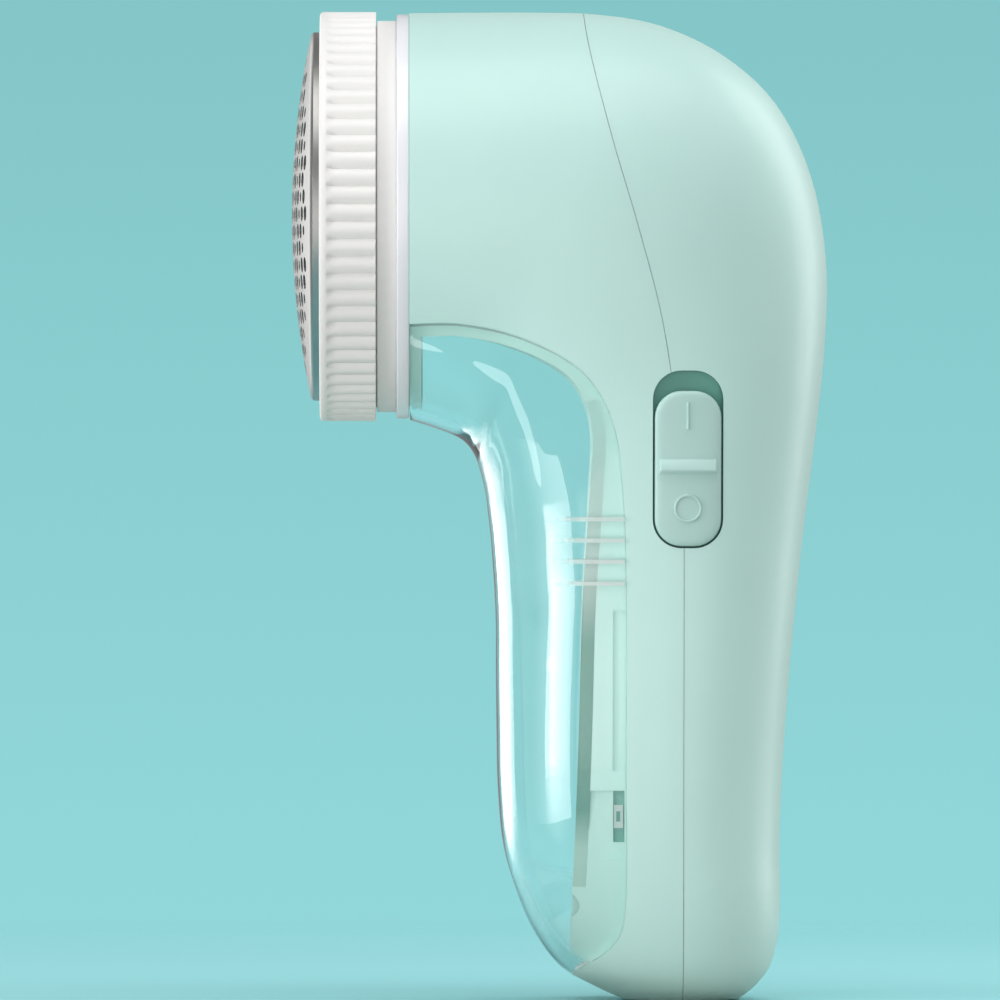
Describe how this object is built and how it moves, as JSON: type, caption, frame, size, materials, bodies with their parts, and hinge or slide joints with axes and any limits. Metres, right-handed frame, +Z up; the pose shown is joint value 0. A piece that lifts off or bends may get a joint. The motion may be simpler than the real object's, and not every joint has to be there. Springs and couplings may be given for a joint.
{
  "type": "fabric shaver",
  "caption": "Hand-held fabric shaver: round perforated foil head with a fluted clamp ring, clear lint bin under the head, mint pistol-grip body and a side slide switch.",
  "frame": {"origin": "under the middle of the footprint, on the plane of the flat base", "axes": "+Z up the handle, the head and its foil point along -X, the slide switch faces -Y"},
  "size_m": [0.0839, 0.0642, 0.1548],
  "materials": {
    "mint_plastic": "satin",
    "clear_plastic": "clear, polished",
    "white_plastic": "satin",
    "trim_plastic": "gloss",
    "foil_steel": "fine satin",
    "blade_steel": "ground",
    "steel": "plated",
    "black_plastic": "matte",
    "motor_steel": "zinc plated",
    "magnet": "matte",
    "copper": "bare",
    "brass": "satin",
    "board_green": "solder mask",
    "chip_black": "matte",
    "cell_wrap": "shrink film",
    "foam": "open cell foam",
    "wire_red": "satin",
    "wire_black": "satin",
    "led_lens": "clear",
    "port_shell": "bright"
  },
  "bodies": {
    "housing": {"front_housing": "mint_plastic", "rear_housing": "mint_plastic", "trim_ring": "trim_plastic", "cutter_cup": "white_plastic", "motor_can": "motor_steel", "motor_end_cap": "black_plastic", "motor_magnets": "magnet", "motor_bushes": "brass", "motor_terminals": "brass", "motor_screws": "steel", "cup_screws": "steel", "housing_screws": "steel", "switch_body": "motor_steel", "main_board": "board_green", "board_parts": "chip_black", "charge_board": "board_green", "charge_port": "port_shell", "charge_port_tongue": "chip_black", "charge_led": "led_lens", "battery_cell": "cell_wrap", "battery_tabs": "steel", "battery_foam": "foam", "motor_wires": "wire_red", "battery_wires": "wire_red", "charge_wires": "wire_black"},
    "bin": {"lint_bin": "clear_plastic"},
    "rotor": {"motor_shaft": "steel", "drive_collar": "brass", "motor_armature": "copper", "motor_commutator": "copper", "hub_spring": "steel"},
    "cutter": {"blade_hub": "black_plastic", "blades": "blade_steel", "hub_cap": "black_plastic"},
    "foil_carrier": {"foil": "foil_steel"},
    "ring": {"foil_ring": "white_plastic"},
    "button": {"switch_button": "mint_plastic", "switch_lever": "black_plastic"}
  },
  "joints": [
    {"name": "rotor_spin", "type": "hinge", "parent": "housing", "child": "rotor", "pos_m": [0, 0, 0.1227], "axis": [1, 0, 0], "continuous": true},
    {"name": "cutter_float", "type": "slide", "parent": "rotor", "child": "cutter", "axis": [1, 0, 0], "range_m": [0, 0.0008]},
    {"name": "foil_lift", "type": "slide", "parent": "housing", "child": "foil_carrier", "axis": [-1, 0, 0], "range_m": [0, 0.006]},
    {"name": "ring_turn", "type": "hinge", "parent": "foil_carrier", "child": "ring", "pos_m": [0, 0, 0.1227], "axis": [-1, 0, 0], "range_deg": [0, 540]},
    {"name": "bin_swing", "type": "hinge", "parent": "housing", "child": "bin", "pos_m": [-0.02345, 0, 0.0907], "axis": [0, 1, 0], "range_deg": [0, 30]},
    {"name": "switch_slide", "type": "slide", "parent": "housing", "child": "button", "axis": [0, 0, 1], "range_m": [0, 0.003]}
  ],
  "couplings": [
    {"joint": "foil_lift", "follows": "ring_turn", "m_per_rad": 0.00063662}
  ]
}
